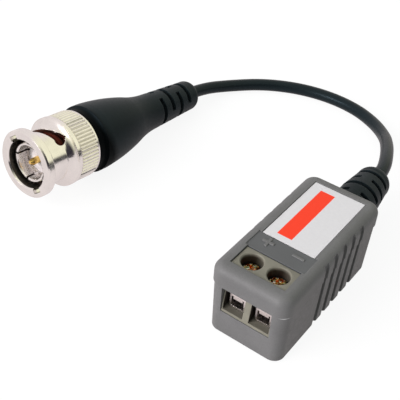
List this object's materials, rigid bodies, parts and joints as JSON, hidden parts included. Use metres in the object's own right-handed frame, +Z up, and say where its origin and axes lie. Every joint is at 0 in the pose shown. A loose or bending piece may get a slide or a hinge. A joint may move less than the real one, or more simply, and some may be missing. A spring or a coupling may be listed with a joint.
{
  "type": "cctv video balun",
  "caption": "Small grey passive video balun: screw terminal in a plastic case, short black coaxial lead and a bayonet coaxial plug.",
  "frame": {"origin": "under the middle of the plastic case, on the surface that it stands on", "axes": "+Y runs along the case from the screw terminal to the coaxial lead, +X is to the right, +Z is up"},
  "size_m": [0.0677, 0.0781, 0.0162],
  "materials": {
    "case": "fine texture",
    "label": "smooth",
    "terminal": "satin",
    "cage": "bright plated",
    "contact": "tinned",
    "screw": "yellow plated",
    "board": "satin",
    "ferrite": "matte",
    "enamelled_wire": "enamelled",
    "chip_tan": "matte",
    "chip_black": "satin",
    "solder": "satin",
    "inner_wire": "translucent white",
    "braid": "twisted strands",
    "cable_jacket": "satin",
    "moulded_rubber": "satin",
    "nickel": "bright nickel plated",
    "spring_steel": "plain",
    "insulator_white": "smooth",
    "gilt": "gilt"
  },
  "bodies": {
    "case": {"lower_base": "case", "upper_cover": "case", "label": "label", "terminal_block": "terminal", "contact_bar_plus": "contact", "contact_bar_minus": "contact", "circuit_board": "board", "ferrite_core": "ferrite", "winding_line": "enamelled_wire", "winding_coax": "enamelled_wire", "chip_capacitor": "chip_tan", "chip_resistor": "chip_black", "solder_joints": "solder", "center_wire": "inner_wire", "shield_wire": "braid", "cable_entry": "cable_jacket", "strain_relief": "moulded_rubber", "cable": "cable_jacket", "cable_tail": "cable_jacket", "plug_boot": "moulded_rubber", "plug_body": "nickel", "retaining_ring": "spring_steel", "wave_washer": "spring_steel", "crimp_ferrule": "nickel", "gasket": "moulded_rubber", "insulator": "insulator_white", "center_pin": "gilt"},
    "cage_plus": {"clamp_cage_plus": "cage"},
    "cage_minus": {"clamp_cage_minus": "cage"},
    "screw_plus": {"clamp_screw_plus": "screw"},
    "screw_minus": {"clamp_screw_minus": "screw"},
    "nut_carrier": {"thrust_washer": "spring_steel"},
    "nut": {"coupling_nut": "nickel"}
  },
  "joints": [
    {"name": "screw_plus_turn", "type": "hinge", "parent": "case", "child": "screw_plus", "pos_m": [-0.00254, -0.01105, 0.0115], "axis": [0, 0, -1], "range_deg": [0, 1080]},
    {"name": "screw_minus_turn", "type": "hinge", "parent": "case", "child": "screw_minus", "pos_m": [0.00254, -0.01105, 0.0115], "axis": [0, 0, -1], "range_deg": [0, 1080]},
    {"name": "cage_plus_rise", "type": "slide", "parent": "case", "child": "cage_plus", "axis": [0, 0, 1], "range_m": [0, 0.00135]},
    {"name": "cage_minus_rise", "type": "slide", "parent": "case", "child": "cage_minus", "axis": [0, 0, 1], "range_m": [0, 0.00135]},
    {"name": "nut_push", "type": "slide", "parent": "case", "child": "nut_carrier", "axis": [-0.0511, -0.9909, 0.1245], "range_m": [0, 0.0008], "stiffness_N_per_m": 8000, "springref_m": -0.0002, "deforming": ["wave_washer"]},
    {"name": "nut_turn", "type": "hinge", "parent": "nut_carrier", "child": "nut", "pos_m": [-0.05291, -0.00428, 0.0084], "axis": [-0.0511, -0.9909, 0.1245], "continuous": true}
  ],
  "couplings": [
    {"joint": "screw_plus_turn", "follows": "cage_plus_rise", "rad_per_m": 13963},
    {"joint": "screw_minus_turn", "follows": "cage_minus_rise", "rad_per_m": 13963}
  ]
}
